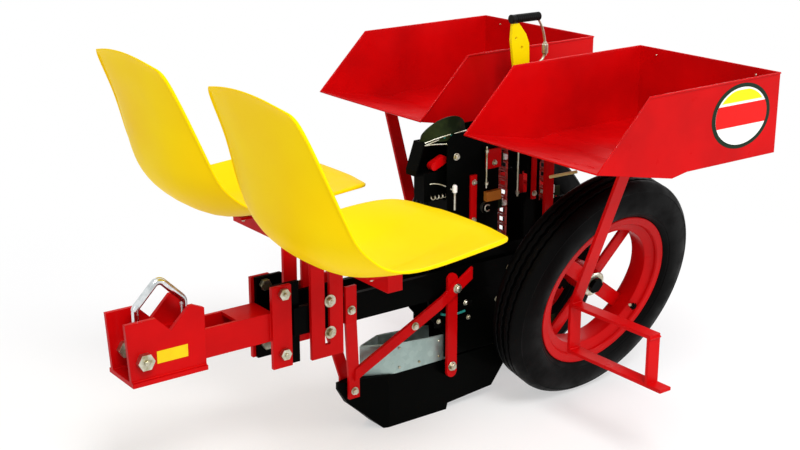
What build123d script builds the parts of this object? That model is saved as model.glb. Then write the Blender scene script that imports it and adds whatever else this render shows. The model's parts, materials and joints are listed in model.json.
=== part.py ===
"""Bare root transplanter, one row: +X forward to the toolbar, +Y to the left, +Z up, floor at Z = 0."""
from build123d import *
from math import atan2, cos, degrees, hypot, pi, radians, sin, sqrt
import os

ORIGIN_X = -41.3          # middle of the machine's length; lengths below are taken from this datum
FIT = 0.3                 # clearance of a fixed piece in the hole or on the face that takes it
AXLE_FIT = 0.05           # running clearance of the wheels on their axles
MOVING_GAP = 5.0          # clearance of a turning piece from what stands still
OVER = 1.0                # how far a cutting body runs past the face that it opens

# Toolbar clamp and hitch
TOOLBAR = 63.5            # side of the square bar, carried with a corner down
CLAMP_X = 607.0           # the bar's centre
CLAMP_BACK = 80.0         # behind the bar's centre
CLAMP_FRONT = 105.0       # in front of it
CLAMP_RAKE = 8.0          # the foot of the front edge stands this far back
CLAMP_TOP = 427.0
NOTCH_DEPTH = 34.0
CHEEK_RISE = 11.0         # the plate behind the notch stands this much higher
CHEEK_FLAT = 10.0
BASE_Z = 286.0
BASE_WIDTH = 115.0
BASE_T = 10.0
HITCH_GAP = 81.0          # inside width between the hitch side plates
PLATE = 10.0
U_BOLT_R = 8.5
U_BOLT_BEND = 16.0
U_BOLT_TAIL = 18.0
U_NUT_AF = 26.0
U_NUT_H = 14.0
HITCH_BOLT = (673.0, 340.0)
HITCH_BOLT_R = 11.0
HITCH_BOLT_AF = 34.0
HITCH_HEAD = 14.0
DRAWBAR_BACK = 352.0
DRAWBAR_TIP_GAP = 25.0    # from the drawbar's front end to the middle of the hitch bolt
DRAWBAR_TOP = 372.0
DRAWBAR_H = 67.0
DRAWBAR_WALL = 8.0
DRAWBAR_MOUTH = 208.0     # the top is open over this length behind the front end
LEG_SLOT = 14.0

# Ear plates that bolt the hitch to the frame
EAR_X = (309.0, 359.0)
EAR_Z = (239.0, 433.0)
EAR_BOLT_X = 330.0
EAR_BOLT_Z = (272.0, 415.0)
BOLT_R = 8.0
BOLT_AF = 24.0
BOLT_HEAD = 10.0
NUT_H = 12.0

# Frame rails
RAIL_TOP = 374.0
RAIL_H = 66.0
RAIL_T = 12.5
RAIL_SPAN = (-600.0, 305.0)
HALF = HITCH_GAP / 2
RAIL_OUT = HALF + RAIL_T
FRAME_EAR_X = (283.0, 351.0)
FRAME_WEB_T = 10.0
FRAME_WEB_Z = (289.0, 405.0)
REAR_TIE = 40.0
REAR_TIE_STEP = 8.0

# Seats, posts and beams
SEAT_Y = 262.0            # middle of each seat from the middle of the machine
SEAT_SHELL = 7.0
SEAT_SECTIONS = [         # x, z, tilt from upright, half width, rise of the edges
    (-34, 572, 50, 110, -6), (-20, 585, 74, 148, -10), (32, 586, 96, 198, 6), (90, 571, 104, 210, 22),
    (150, 550, 103, 216, 40), (250, 527, 95, 216, 53), (365, 537, 62, 214, 55), (440, 604, 36, 214, 54),
    (457, 650, 14, 214, 42), (463, 710, 7, 204, 26), (480, 800, 14, 180, 12), (508, 870, 20, 173, 9),
    (523, 908, 20, 162, 6), (528, 921, 20, 144, 4),
]
SEAT_CREASE = 80.0        # half width of the flat middle, where the wings start
SEAT_DISH = 0.1           # how much of a section's rise is in its middle
POST_X = 221.0
POST_BAR = 36.0
POST_GAP = 14.0
POST_Z = (242.0, 494.0)
POST_T = 9.0
POST_TIE = 30.0
SEAT_BEAM = 38.0
BEAM_REACH = 60.0         # past the middle of the seat
PAD = (130.0, 120.0)
PAD_T = 6.0

# Furrow opener and its struts
SHOE_HALF = 36.0
SHOE_TOP = 137.0
SHOE_WALL = 6.0
SHOE_FLOOR = 30.0
SHOE_SIDE = [(157, SHOE_TOP), (-300, SHOE_TOP), (-338, 88), (-292, 28), (-150, 16), (-146, 0), (44, 0), (85, 38),
             (132, 80), (157, 120)]
SHOE_NOSE = [(30, SHOE_HALF), (105, 15), (157, 5)]
SHOE_CHANNEL = (-345.0, 20.0)
SHROUD_T = 3.0
SHROUD_PLAN = [(-143, SHOE_HALF), (14, SHOE_HALF), (91, 0)]
SHROUD_TOP = [(-144, 201), (14, 213), (92, 214)]
STRUT_W = 30.0
STRUT_T = 8.0
STRUT_PATH = [            # x, inner y and z of the front strut's middle, from the foot to the top
    (122.0, 15.0, 97.0), (122.0, 15.0, 140.0), (155.0, RAIL_OUT, 308.0), (155.0, RAIL_OUT, 398.0),
]
REAR_STRUT_X = -143.0
REAR_STRUT_Z = (112.0, 352.0)
BRACE_PATH = [            # x, inner y and z of the brace's middle, from the front strut to the rear one
    (126.0, 26.0, 160.0), (-105.0, RAIL_OUT + STRUT_T, 302.0), (-198.0, RAIL_OUT + STRUT_T, 360.0),
]
BRACE_W = 30.0
LUG_HALF = 12.0
LUG_DROP = (8.0, 36.0)

# Planting chain, its sprockets and the holders on it
CHAIN_X = -414.0
CHAIN_TOP = 630.0         # centre of the upper sprocket
LINK_PITCH = 23.5
LINKS = 60
TEETH = 18
LINK_T = 6.0
LINK_HALF = 12.5
LINK_BAR = 6.0
LINK_SIDE = 4.0
TOOTH = 10.0
TOOTH_RISE = 2.5
SPROCKET_HALF = 4.0
SPROCKET_ROOT = 5.0       # below the pitch circle
SHAFT_R = 11.0
SHAFT_END = 9.0           # beyond the side plate
HOLDER_STEP = 5           # links from one holder to the next
CLIP = (10.0, 44.0, 14.0)
FLAP = (34.0, 3.0, 26.0)
FLAP_SPREAD = 12.0

# Side plates, red top frame, lever and plant guide
SIDE_T = 4.0
SIDE_FOOT = (-434.0, -394.0, 100.0)
SIDE_PLATE = [(-138, RAIL_TOP - RAIL_H), (-138, 688), (-158, 706), (-432, 706), (-432, 495), (-560, 495),
              (-560, RAIL_TOP - RAIL_H), (-345, RAIL_TOP - RAIL_H), (-345, 145), (-135, 145), (-135, 205), (-85, 262),
              (-85, RAIL_TOP - RAIL_H)]
SIDE_WINDOW = [(-298, 404), (-384, 404), (-384, 495), (-394, 510), (-394, 655), (-298, 655)]
TOP_T = 6.0
RED_BARS = [              # x from, x to, z from, z to
    (-225, -207, 470, 598), (-300, -255, 606, 654), (-417, -404, 505, 615), (-412, -392, 650, 792),
]
LEVER_TIE = (-402.0, 778.0)
TIE_R = 7.0
LEVER_T = 8.0
LEVER_SIDE = [(-414, 764), (-388, 764), (-375, 816), (-368, 854), (-361, 903), (-364, 942), (-384, 942), (-408, 913),
              (-418, 890), (-421, 833)]
LEVER_HOLES = [(-376, 906), (-395, 882), (-398, 838)]
LEVER_HOLE_R = 3.5
GRIP_R = 11.0
GRIP_L = 92.0
GRIP_AT = (-406.0, 953.0)
IDLER = (-255.0, 510.0)
IDLER_R = 9.0
GUIDE_HALF = 20.0
GUIDE_BLOCK = ((-190.0, -85.0), (545.0, 612.0))
GUIDE_FOOT = ((-190.0, -139.0), (505.0, 545.0))
GUIDE_BAR = ((-223.0, -213.0), (680.0, 690.0))
GUIDE_WALL = [(-84, 690), (-61, 625), (-61, 612), (-223, 612), (-223, 690)]
GUIDE_CHUTE = [(-84, 690), (-61, 625), (-61, 612), (-140, 612), (-140, 616), (-65, 616), (-65, 624), (-88, 690)]
GUIDE_SHEET = 4.0
FLAP_ARC = [(-86, 690), (-155, 748), (-224, 690)]
FLAP_BEND = 88.0          # radius that the flap is bent to, about a vertical line
FLAP_FACE = 34.0
FLAP_T = 4.0
INSERT = ((-146.0, 640.0), (-118.0, 628.0))
INSERT_W = 20.0
INSERT_Y = (0.0, 18.0)
BEARING_R = 14.0
BEARING_T = 8.0
STOP = ((-298.0, -252.0), (526.0, 550.0), 12.0)

# Press wheels
CAMBER = 14.7
TOE = 3.0
WHEEL_X = -502.0
WHEEL_Y = 171.5
TYRE_R = 300.0
TYRE_W = 114.0
TREAD_HALF = 33.0
SHOULDER = (12.0, 10.0)   # fall of the tread's edge and how far it stands in from the side
TYRE_WAIST = 36.0         # from the rim's edge up to the widest place
TYRE_WALL = 92.5          # from the rim's edge to the tread
RIM_R = TYRE_R - TYRE_WALL
RIM_W = 86.0
BEAD_DROP = 17.0
WELL_DROP = 41.5
BEAD_R = RIM_R - BEAD_DROP
WELL_R = RIM_R - WELL_DROP
WELL_HALF = 22.0
SHEET = 5.0
SPOKES = 4
SPOKE_AT = 55.2
SPOKE_Z = -13.0
SPOKE_W = 38.0
SPOKE_T = 8.0
HUB_R = 34.0
HUB_Z = (-85.0, 5.0)
AXLE_R = 15.0
COLLAR_R = 24.0
COLLAR_L = 22.0
AXLE_NUT_AF = 36.0
AXLE_NUT_H = 8.0
CARRIER = (68.0, 9.0, 90.0)
DRIVE_R = 56.0
DRIVE_T = 5.0
DRIVE_TEETH = 20
DRIVE_TOOTH = (7.0, 8.0)

# Trays and footrests
TRAY_Y = (85.0, 525.0)
TRAY_BACK = -722.0
TRAY_SHEET = 3.0
TRAY_LIFT = 76.0          # of the tray's floor over a tyre that stood upright
TRAY_Z = 2 * TYRE_R + TRAY_LIFT
TRAY_WALL = 186.0         # rear wall's top over the floor
TRAY_FALL = 4.0           # how much lower the rim is at its front bend
TRAY_NOSE = 36.0          # rise of the front edge
TRAY_FLOOR = [(-153, TRAY_Z + TRAY_NOSE), (-381, TRAY_Z - 8), (-428, TRAY_Z), (TRAY_BACK, TRAY_Z)]
TRAY_RIM = [(TRAY_BACK, TRAY_Z + TRAY_WALL), (-300, TRAY_Z + TRAY_WALL - TRAY_FALL)]
TRAY_POST_X = (-462.0, -434.0)
TRAY_ARM_END = 480.0
TRAY_STEEL = 8.0
FOOT_X = -318.0
FOOT_BAR = 34.0
FOOT_T = 8.0
FOOT_RISE = 34.0          # top of the leg over the tray's floor
FOOT_SLOPE = 1.5
FOOT_TOP = TRAY_Z + FOOT_RISE
FOOT_LEG = [(453, FOOT_TOP), (300, 325), (300, 204), (308, 204), (308, 325 - FOOT_SLOPE),
            (461, FOOT_TOP - FOOT_SLOPE)]
FOOT_STEP = (204.0, 320.0)
FOOT_REACH = 600.0
FOOT_TOE = 40.0           # the lower bar reaches this much further out

CHAIN_R = LINK_PITCH * TEETH / (2 * pi)
CHAIN_RUN = (LINK_PITCH * LINKS - 2 * pi * CHAIN_R) / 2
CHAIN_LOW = CHAIN_TOP - CHAIN_RUN
SIDE_IN = HALF - SIDE_T


def block(x, y, z):
    """Box from its low and high ends along X, Y and Z."""
    size = [b - a for a, b in (x, y, z)]
    middle = [(a + b) / 2 for a, b in (x, y, z)]
    return Pos(*middle) * Box(*size)


def plate(outline, y0, y1):
    """Plate cut to an outline of (x, z) points, from y0 to y1 across the machine."""
    face = make_face(Polyline(*outline, close=True))
    return extrude(Plane.XZ.offset(-y0) * face, amount=y0 - y1)


def rod_y(x, z, radius, y0, y1):
    """Round bar across the machine."""
    return Pos(x, (y0 + y1) / 2, z) * Rot(90, 0, 0) * Cylinder(radius, y1 - y0)


def hexagon_y(x, z, flats, y0, y1):
    """Hexagon bolt head or nut across the machine."""
    face = RegularPolygon(flats / 2, 6, major_radius=False)
    return extrude(Plane.XZ.offset(-y0) * Pos(x, z) * face, amount=y0 - y1)


def slanted_bar(start, end, width, y0, y1):
    """Flat bar with round ends, from one hole centre (x, z) to the other."""
    dx = end[0] - start[0]
    dz = end[1] - start[1]
    middle = Pos((start[0] + end[0]) / 2, (start[1] + end[1]) / 2)
    face = middle * Rot(0, 0, degrees(atan2(dz, dx))) * SlotCenterToCenter(hypot(dx, dz), width)
    return extrude(Plane.XZ.offset(-y0) * face, amount=y0 - y1)


def rod_path(points, radius, bend):
    """Round rod along straight runs joined by arcs."""
    path = FilletPolyline(*points, radius=bend)
    start = Plane(origin=path @ 0, z_dir=path % 0)
    return sweep(start * Circle(radius), path=path)


def flip(shape):
    """The same piece on the right-hand side."""
    return mirror(shape, about=Plane.XZ)


def save(name, shape):
    """Write one node."""
    export_step(Pos(-ORIGIN_X, 0, 0) * shape, "parts/" + name + ".step")


def save_pair(name, shape):
    """Write a left piece and its mirrored twin."""
    save(name + "_left", shape)
    save(name + "_right", flip(shape))


def hitch():
    """Clamp for the toolbar, its V-shaped bolt, the drawbar and the ear plates."""
    back = CLAMP_X - CLAMP_BACK
    front = CLAMP_X + CLAMP_FRONT
    seat = CLAMP_TOP - NOTCH_DEPTH
    foot = BASE_Z + BASE_T
    cheek = CLAMP_X - NOTCH_DEPTH - CHEEK_RISE
    outline = [
        (front, CLAMP_TOP), (CLAMP_X + NOTCH_DEPTH, CLAMP_TOP), (CLAMP_X, seat),
        (cheek, CLAMP_TOP + CHEEK_RISE), (cheek - CHEEK_FLAT, CLAMP_TOP + CHEEK_RISE), (back, CLAMP_TOP), (back, foot),
        (front - CLAMP_RAKE, foot),
    ]
    out = HALF + PLATE
    side = plate(outline, HALF, out) - rod_y(*HITCH_BOLT, HITCH_BOLT_R + FIT, 0, out + OVER)
    half = BASE_WIDTH / 2
    clamp = block((back, front - CLAMP_RAKE), (-half, half), (BASE_Z, foot)) + side + flip(side)
    bar_middle = seat + TOOLBAR / sqrt(2)
    rise = (TOOLBAR / 2 + U_BOLT_R + FIT) * sqrt(2)
    leg = rise
    for leg_x in (CLAMP_X - leg, CLAMP_X + leg):
        clamp -= Pos(leg_x, 0, BASE_Z) * Cylinder(U_BOLT_R + FIT, 4 * BASE_T)
    save("hitch_clamp", clamp)

    low = BASE_Z - U_BOLT_TAIL
    points = [
        (CLAMP_X - leg, 0, low), (CLAMP_X - leg, 0, bar_middle), (CLAMP_X, 0, bar_middle + rise),
        (CLAMP_X + leg, 0, bar_middle), (CLAMP_X + leg, 0, low),
    ]
    bolt = rod_path(points, U_BOLT_R, U_BOLT_BEND)
    for side_x in (-leg, leg):
        nut = extrude(RegularPolygon(U_NUT_AF / 2, 6, major_radius=False), amount=U_NUT_H)
        bolt += Pos(CLAMP_X + side_x, 0, BASE_Z - U_NUT_H) * nut
    save("u_bolt", bolt)

    bolt = rod_y(*HITCH_BOLT, HITCH_BOLT_R, HALF, out)
    bolt += hexagon_y(*HITCH_BOLT, HITCH_BOLT_AF, out, out + HITCH_HEAD)
    bolt += hexagon_y(*HITCH_BOLT, HITCH_BOLT_AF, HALF - HITCH_HEAD, HALF)
    save("hitch_bolts", Compound([bolt, flip(bolt)]))

    low = DRAWBAR_TOP - DRAWBAR_H
    back = DRAWBAR_BACK
    front = HITCH_BOLT[0] - DRAWBAR_TIP_GAP
    wall = DRAWBAR_WALL
    hollow = (wall - HALF, HALF - wall)
    bar = block((back, front), (-HALF, HALF), (low, DRAWBAR_TOP))
    bar -= block((back + wall, front + OVER), hollow, (low + wall, DRAWBAR_TOP - wall))
    bar -= block((front - DRAWBAR_MOUTH, front + OVER), hollow, (DRAWBAR_TOP - wall - OVER, DRAWBAR_TOP + OVER))
    slot = (-LEG_SLOT, LEG_SLOT)
    for leg_x in (CLAMP_X - leg, CLAMP_X + leg):
        bar -= block((leg_x - LEG_SLOT, leg_x + LEG_SLOT), slot, (low - OVER, low + wall + OVER))
    save("drawbar", bar)

    ear = block(EAR_X, (HALF, out), EAR_Z)
    for z in EAR_BOLT_Z:
        ear -= rod_y(EAR_BOLT_X, z, BOLT_R + FIT, 0, out + OVER)
    save_pair("ear_plate", ear)


def frame():
    """Black frame: ears, two rails and the cross pieces between them."""
    inner = HALF - PLATE
    out = HALF + PLATE
    ear = block(FRAME_EAR_X, (inner, HALF), EAR_Z)
    for z in EAR_BOLT_Z:
        ear -= rod_y(EAR_BOLT_X, z, BOLT_R + FIT, 0, out)
    back = FRAME_EAR_X[0]
    web = block((back, back + FRAME_WEB_T), (-inner, inner), FRAME_WEB_Z)
    save("frame_front", ear + flip(ear) + web)

    low = RAIL_TOP - RAIL_H
    save_pair("frame_rail", block(RAIL_SPAN, (HALF, RAIL_OUT), (low, RAIL_TOP)))
    back = RAIL_SPAN[0]
    tie = block((back, back + REAR_TIE), (-HALF, HALF), (low + REAR_TIE_STEP, RAIL_TOP - REAR_TIE_STEP))
    save("frame_rear", tie)

    bolts = []
    for z in EAR_BOLT_Z:
        bolt = rod_y(EAR_BOLT_X, z, BOLT_R, inner, out)
        bolt += hexagon_y(EAR_BOLT_X, z, BOLT_AF, out, out + BOLT_HEAD)
        bolt += hexagon_y(EAR_BOLT_X, z, BOLT_AF, inner - NUT_H, inner)
        bolts += [bolt, flip(bolt)]
    save("ear_bolts", Compound(bolts))


def seats():
    """Seat shells, the beams under them and the slotted posts that hold them."""
    sections = []
    for x, z, tilt, half, rise in SEAT_SECTIONS:
        dish = rise * SEAT_DISH
        outline = [Line((-half, rise), (-half, rise - SEAT_SHELL)), Line((half, rise), (half, rise - SEAT_SHELL))]
        for drop in (0, SEAT_SHELL):
            outline.append(Line((-half, rise - drop), (-SEAT_CREASE, dish - drop)))
            outline.append(ThreePointArc((-SEAT_CREASE, dish - drop), (0, -drop), (SEAT_CREASE, dish - drop)))
            outline.append(Line((SEAT_CREASE, dish - drop), (half, rise - drop)))
        lean = radians(tilt)
        across = Plane(origin=(x, SEAT_Y, z), x_dir=(0, 1, 0), z_dir=(sin(lean), 0, cos(lean)))
        sections.append(across * make_face(outline))
    shell = loft(sections, ruled=True)
    save_pair("seat", shell)
    pad_top = shell.bounding_box().min.Z - FIT

    side = (RAIL_OUT, RAIL_OUT + POST_T)
    left = POST_X - POST_GAP / 2
    right = POST_X + POST_GAP / 2
    post = block((left - POST_BAR, right + POST_BAR), side, POST_Z)
    post -= block((left, right), (0, side[1] + OVER), (POST_Z[0] + POST_TIE, POST_Z[1] - POST_TIE))
    save_pair("seat_post", post)

    x0 = POST_X - SEAT_BEAM / 2
    beam_top = pad_top - PAD_T
    length, width = PAD
    beam = block((x0, x0 + SEAT_BEAM), (side[1], SEAT_Y + BEAM_REACH), (beam_top - SEAT_BEAM, beam_top))
    pad = block((POST_X - length / 2, POST_X + length / 2), (SEAT_Y - width / 2, SEAT_Y + width / 2),
                (beam_top, pad_top))
    save_pair("seat_beam", beam + pad)


def bent_bar(path, width, thick, level):
    """Flat bar bent along (x, inner y, z) stations, each cut level or upright across the machine."""
    sections = []
    for x, y, z in path:
        normal = (0, 0, 1) if level else (1, 0, 0)
        cut = Plane(origin=(x, y + thick / 2, z), x_dir=(0, 1, 0), z_dir=normal)
        sections.append(cut * Rectangle(thick, width))
    return loft(sections, ruled=True)


def opener():
    """Boat-shaped furrow opener, the galvanised shroud on it and the struts that hold them."""
    half = SHOE_HALF
    back = SHOE_CHANNEL[0] - half
    body = plate(SHOE_SIDE, -half, half)
    port = [(x, -y) for x, y in reversed(SHOE_NOSE)]
    nose = make_face(Polyline((back, half), *SHOE_NOSE, *port, (back, -half), close=True))
    body = body & extrude(nose, amount=SHOE_TOP + OVER)
    inside = half - SHOE_WALL
    body -= block(SHOE_CHANNEL, (-inside, inside), (SHOE_FLOOR, SHOE_TOP + OVER))
    near, far = LUG_DROP
    foot_x, foot_y, _ = STRUT_PATH[0]
    for x, reach in ((foot_x, (0, foot_y)), (REAR_STRUT_X, (inside, RAIL_OUT))):
        lug = block((x - LUG_HALF, x + LUG_HALF), reach, (SHOE_TOP - far, SHOE_TOP - near))
        body += lug + flip(lug)
    save("shoe", body)

    back, wide = SHROUD_PLAN[0]
    bend, _ = SHROUD_PLAN[1]
    tip, _ = SHROUD_PLAN[2]
    inner = wide - SHROUD_T
    bow = SHROUD_T * hypot(tip - bend, wide) / wide
    outside = Polyline((back, wide), (bend, wide), (tip, 0), (bend, -wide), (back, -wide), close=True)
    hollow = [(back - OVER, inner), (bend, inner), (tip - bow, 0), (bend, -inner), (back - OVER, -inner)]
    sheet = make_face(outside) - make_face(Polyline(*hollow, close=True))
    foot = [(SHROUD_TOP[-1][0], SHOE_TOP), (SHROUD_TOP[0][0], SHOE_TOP)]
    top = max(z for _, z in SHROUD_TOP)
    save("shroud", extrude(sheet, amount=top) & plate(SHROUD_TOP + foot, -wide, wide))

    strut = bent_bar(STRUT_PATH, STRUT_W, STRUT_T, True)
    save("front_strut_left", strut + bent_bar(BRACE_PATH, BRACE_W, STRUT_T, False))
    save("front_strut_right", flip(strut))
    low, top = REAR_STRUT_Z
    middle = slanted_bar((REAR_STRUT_X, top), (REAR_STRUT_X, low), STRUT_W, RAIL_OUT, RAIL_OUT + STRUT_T)
    save_pair("rear_strut", middle)


def chain_place(step):
    """Place on the planting chain, in links from the middle of its front run: +X outward, +Z along the run."""
    straight = CHAIN_RUN
    turn = pi * CHAIN_R
    s = (step * LINK_PITCH + straight / 2) % (2 * straight + 2 * turn)
    if s < straight:
        return Pos(CHAIN_X + CHAIN_R, 0, CHAIN_LOW + s)
    s -= straight
    if s < turn:
        return Pos(CHAIN_X, 0, CHAIN_TOP) * Rot(0, -degrees(s / CHAIN_R), 0) * Pos(CHAIN_R, 0, 0)
    s -= turn
    if s < straight:
        return Pos(CHAIN_X - CHAIN_R, 0, CHAIN_TOP - s) * Rot(0, 180, 0)
    s -= straight
    return Pos(CHAIN_X, 0, CHAIN_LOW) * Rot(0, 180 - degrees(s / CHAIN_R), 0) * Pos(CHAIN_R, 0, 0)


def stadium(radius, half):
    """Block around both sprockets' centres, with round ends."""
    turned = Rot(0, 0, 90) * SlotCenterToCenter(CHAIN_RUN, 2 * radius)
    face = Pos(CHAIN_X, (CHAIN_TOP + CHAIN_LOW) / 2) * turned
    return extrude(Plane.XZ.offset(-half) * face, amount=2 * half)


def planting_chain():
    """Link chain with its plant holders, and the toothed sprockets that it runs on."""
    ring = stadium(CHAIN_R + LINK_T / 2, LINK_HALF) - stadium(CHAIN_R - LINK_T / 2, LINK_HALF + OVER)
    window = Box(4 * LINK_T, 2 * (LINK_HALF - LINK_SIDE), LINK_PITCH - LINK_BAR)
    ring -= [chain_place(k + 0.5) * window for k in range(LINKS)]
    save("planting_chain", ring)

    depth, width, height = CLIP
    length, thin, tall = FLAP
    clips = []
    flaps = []
    for k in range(0, LINKS, HOLDER_STEP):
        place = chain_place(k) * Pos(LINK_T / 2, 0, 0)
        clips.append(place * Pos(depth / 2, 0, 0) * Box(depth, width, height))
        for side in (-1, 1):
            flap = Pos(depth + length / 2, side * FLAP_SPREAD, 0) * Box(length, thin, tall)
            flaps.append(place * flap)
    save("holder_clips", Compound(clips))
    save("holder_flaps", Compound(flaps))

    sprockets = []
    for z in (CHAIN_TOP, CHAIN_LOW):
        root = CHAIN_R - SPROCKET_ROOT
        disc = rod_y(CHAIN_X, z, root, -SPROCKET_HALF, SPROCKET_HALF)
        rise = SPROCKET_ROOT + TOOTH_RISE
        for k in range(TEETH):
            tooth = Pos(root + rise / 2 - OVER, 0, 0) * Box(rise + 2 * OVER, 2 * SPROCKET_HALF, TOOTH)
            disc += Pos(CHAIN_X, 0, z) * Rot(0, k * 360 / TEETH, 0) * tooth
        reach = HALF + SHAFT_END
        sprockets.append(disc + rod_y(CHAIN_X, z, SHAFT_R, -reach, reach))
    save("sprockets", Compound(sprockets))


def planting_unit():
    """Side plates and red top frame that carry the chain, the lever over them and the guide in front."""
    side = plate(SIDE_PLATE, SIDE_IN, HALF) - plate(SIDE_WINDOW, 0, HALF + OVER)
    back, front, low = SIDE_FOOT
    side += block((back, front), (SIDE_IN, HALF), (low, RAIL_TOP))
    for z in (CHAIN_LOW, CHAIN_TOP):
        side -= rod_y(CHAIN_X, z, SHAFT_R + FIT, 0, HALF + OVER)
    side -= rod_y(*IDLER, IDLER_R + FIT, 0, HALF + OVER)
    save_pair("side_plate", side)

    out = HALF + TOP_T
    bars = []
    for x0, x1, z0, z1 in RED_BARS:
        bar = block((x0, x1), (HALF, out), (z0, z1)) - rod_y(CHAIN_X, CHAIN_TOP, SHAFT_R + FIT, 0, out + OVER)
        bars.append(bar - rod_y(*LEVER_TIE, TIE_R + FIT, 0, out + OVER))
    save_pair("red_bars", Compound(bars))

    save("lever_tie", rod_y(*LEVER_TIE, TIE_R, -out, out))
    half = LEVER_T / 2
    lever = plate(LEVER_SIDE, -half, half) - rod_y(*LEVER_TIE, TIE_R + FIT, -out, out)
    for x, z in LEVER_HOLES:
        lever -= rod_y(x, z, LEVER_HOLE_R, -out, out)
    save("lever", lever)
    x, z = GRIP_AT
    save("lever_grip", Pos(x, 0, z) * Rot(0, 90, 0) * Cylinder(GRIP_R, GRIP_L))

    reach = HALF + BEARING_T
    shaft = rod_y(*IDLER, IDLER_R, -reach, reach)
    for y in (-reach, HALF):
        shaft += rod_y(*IDLER, BEARING_R, y, y + BEARING_T)
    save("idler_shaft", shaft)
    save("stop_block", block(STOP[0], (HALF, HALF + STOP[2]), STOP[1]))

    half = GUIDE_HALF
    body = block(GUIDE_BLOCK[0], (-half, half), GUIDE_BLOCK[1]) + plate(GUIDE_CHUTE, -half, half)
    body += plate(GUIDE_WALL, -half, GUIDE_SHEET - half)
    body += block(GUIDE_FOOT[0], (-SIDE_IN, SIDE_IN), GUIDE_FOOT[1])
    body += block(GUIDE_BAR[0], (-SIDE_IN, SIDE_IN), GUIDE_BAR[1])
    save("guide_body", body)
    arch = make_face([ThreePointArc(*FLAP_ARC), Line(FLAP_ARC[-1], FLAP_ARC[0])])
    x, high = FLAP_ARC[1]
    bent = Pos(x, FLAP_FACE - FLAP_BEND, high) * Cylinder(FLAP_BEND, high)
    bent -= Pos(x, FLAP_FACE - FLAP_BEND, high) * Cylinder(FLAP_BEND - FLAP_T, high + OVER)
    save("guide_flap", extrude(Plane.XZ * arch, amount=-FLAP_FACE) & bent)
    save("guide_insert", slanted_bar(*INSERT, INSERT_W, *INSERT_Y))


def trays():
    """Plant trays, the frames that carry them and the footrests that hang from them."""
    y0, y1 = TRAY_Y
    sheet = TRAY_SHEET
    inside = [(x, z + sheet) for x, z in TRAY_FLOOR[1:-1]]
    front_x, front_z = TRAY_FLOOR[0]
    high = TRAY_RIM[0][1] + OVER
    lip = front_x + 4 * sheet
    back = TRAY_BACK + sheet
    inside = [(lip, front_z + sheet + 2), *inside, (back, TRAY_FLOOR[-1][1] + sheet), (back, high), (lip, high)]
    tray = plate(TRAY_FLOOR + TRAY_RIM, y0, y1) - plate(inside, y0 + sheet, y1 - sheet)
    save_pair("tray", tray)

    floor = TRAY_FLOOR[-1][1]
    t = TRAY_STEEL
    post = block(TRAY_POST_X, (RAIL_OUT, RAIL_OUT + t), (RAIL_TOP - RAIL_H, floor))
    arm = block(TRAY_POST_X, (RAIL_OUT + t, TRAY_ARM_END), (floor - t, floor))
    save_pair("tray_frame", post + arm)

    bar = FOOT_BAR / 2
    across = (FOOT_X - bar, FOOT_X + bar)
    leg = extrude(Plane.YZ.offset(FOOT_X - bar) * make_face(Polyline(*FOOT_LEG, close=True)), amount=2 * bar)
    over = [TRAY_FLOOR[0], TRAY_FLOOR[1], (TRAY_FLOOR[1][0], high), (front_x, high)]
    leg -= plate(over, y0, y1)
    low, top = FOOT_STEP
    side = FOOT_LEG[3][0]
    tip = FOOT_REACH
    elbow = tip - FOOT_TOE
    step = block(across, (side, tip), (low, low + FOOT_T))
    rail = block(across, (side, elbow), (top, top + FOOT_T))
    end = block(across, (elbow - FOOT_T, elbow), (low + FOOT_T, top))
    save_pair("footrest", leg + step + rail + end)


def wheel_plane():
    """Plane of the left wheel: origin at its centre, +Z outward along its axle."""
    camber = radians(CAMBER)
    toe = radians(TOE)
    outward = (-sin(toe) * cos(camber), cos(toe) * cos(camber), -sin(camber))
    height = TYRE_R * cos(camber) + TREAD_HALF * sin(camber)
    return Plane(origin=(WHEEL_X, WHEEL_Y, height), x_dir=(cos(toe), sin(toe), 0), z_dir=outward)


def turned(points):
    """Ring turned about Z from a (radius, z) outline."""
    return revolve(make_face(Plane.XZ * Polyline(*points, close=True)), axis=Axis.Z)


def along(radius, z0, z1):
    """Round bar along Z."""
    return Pos(0, 0, (z0 + z1) / 2) * Cylinder(radius, z1 - z0)


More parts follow.
